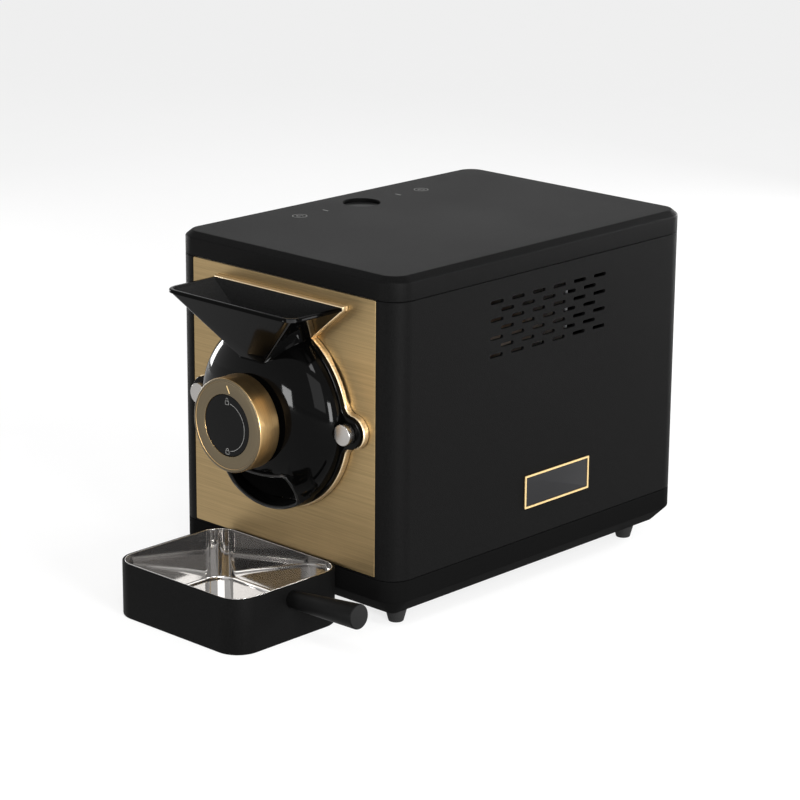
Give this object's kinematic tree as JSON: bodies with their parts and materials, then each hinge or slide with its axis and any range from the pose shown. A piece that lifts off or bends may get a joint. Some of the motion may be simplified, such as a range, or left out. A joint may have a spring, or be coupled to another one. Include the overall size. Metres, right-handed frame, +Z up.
{
  "type": "home coffee bean roaster",
  "caption": "Home coffee bean roaster: black box body with a brushed gold front, a domed cover with a hopper, a turning knob and a spout, and a receiving tray.",
  "frame": {"origin": "on the floor, under the middle of the whole outline with the tray in front", "axes": "+X to the viewer's right as one faces the knob, +Y from the front to the rear, +Z up"},
  "size_m": [0.2052, 0.3638, 0.219],
  "materials": {
    "sand_black": "fine textured powder coat",
    "gloss_black": "polished gloss",
    "soft_black": "matt moulded",
    "brushed_gold": "champagne gold, brushed from side to side",
    "satin_gold": "champagne gold, satin",
    "satin_steel": "satin turned",
    "mirror_steel": "mirror polished steel",
    "plain_steel": "plain sheet steel",
    "heat_steel": "heat-tinted steel",
    "brass": "turned",
    "rubber": "matt",
    "board_green": "solder mask",
    "pale_ring": "sintered, matt",
    "nylon": "moulded nylon",
    "grey_plate": "printed satin plate"
  },
  "bodies": {
    "housing": {"base_pan": "soft_black", "casing_shell": "sand_black", "top_cover": "sand_black", "badge_frame": "satin_gold", "badge_plate": "grey_plate", "control_board": "board_green", "touch_board": "board_green", "foot_front_left": "rubber", "foot_front_right": "rubber", "foot_rear_left": "rubber", "foot_rear_right": "rubber", "front_panel": "brushed_gold", "front_bulkhead": "plain_steel", "rear_bulkhead": "plain_steel", "front_ring": "pale_ring", "chamber_shell": "heat_steel", "rear_bearing": "brass", "heater_element": "heat_steel", "temperature_probe": "satin_steel", "insert_right": "brass", "insert_left": "brass", "gear_motor": "plain_steel", "motor_bracket": "plain_steel", "rear_panel": "sand_black", "fan_frame": "soft_black", "power_inlet": "soft_black", "switch_housing": "soft_black", "rear_screw_1": "plain_steel", "rear_screw_2": "plain_steel", "rear_screw_3": "plain_steel", "rear_screw_4": "plain_steel"},
    "cover": {"trim_plate": "satin_gold", "dome_cover": "gloss_black", "bean_hopper": "gloss_black", "knob_cap": "soft_black", "cap_post": "plain_steel"},
    "knob": {"knob_ring": "satin_gold", "knob_sleeve": "plain_steel", "shutter_disc": "sand_black"},
    "screw_left": {"thumb_screw_left": "satin_steel"},
    "screw_right": {"thumb_screw_right": "satin_steel"},
    "drum_assembly": {"drum": "heat_steel", "drum_shaft": "plain_steel", "drum_gear": "nylon"},
    "pinion": {"motor_pinion": "brass"},
    "fan": {"fan_rotor": "soft_black"},
    "button": {"start_button": "gloss_black"},
    "rocker": {"switch_rocker": "gloss_black"},
    "tray": {"tray_shell": "sand_black", "tray_liner": "mirror_steel", "tray_handle": "soft_black"}
  },
  "joints": [
    {"name": "cover_pull", "type": "slide", "parent": "housing", "child": "cover", "axis": [0, -1, 0], "range_m": [0, 0.06]},
    {"name": "knob_turn", "type": "hinge", "parent": "cover", "child": "knob", "pos_m": [-0.0086, -0.12765, 0.1215], "axis": [0, 1, 0], "range_deg": [0, 180]},
    {"name": "left_screw_turn", "type": "hinge", "parent": "cover", "child": "screw_left", "pos_m": [-0.0712, -0.09965, 0.1215], "axis": [0, 1, 0], "continuous": true},
    {"name": "right_screw_turn", "type": "hinge", "parent": "cover", "child": "screw_right", "pos_m": [0.054, -0.09965, 0.1215], "axis": [0, 1, 0], "continuous": true},
    {"name": "tray_slide", "type": "slide", "parent": "housing", "child": "tray", "axis": [0, -1, 0], "range_m": [0, 0.12]},
    {"name": "drum_spin", "type": "hinge", "parent": "housing", "child": "drum_assembly", "pos_m": [-0.0086, -0.01065, 0.1215], "axis": [0, 1, 0], "continuous": true},
    {"name": "pinion_spin", "type": "hinge", "parent": "housing", "child": "pinion", "pos_m": [0.02058, 0.09435, 0.08672], "axis": [0, 1, 0], "continuous": true},
    {"name": "fan_spin", "type": "hinge", "parent": "housing", "child": "fan", "pos_m": [-0.0426, 0.17135, 0.15], "axis": [0, 1, 0], "continuous": true},
    {"name": "button_press", "type": "slide", "parent": "housing", "child": "button", "axis": [0, 0, -1], "range_m": [0, 0.0012], "stiffness_N_per_m": 300, "springref_m": -0.0005},
    {"name": "rocker_tip", "type": "hinge", "parent": "housing", "child": "rocker", "pos_m": [0.0334, 0.17535, 0.092], "axis": [1, 0, 0], "range_deg": [0, 14]}
  ],
  "couplings": [
    {"joint": "pinion_spin", "follows": "drum_spin", "ratio": -3.2857}
  ]
}
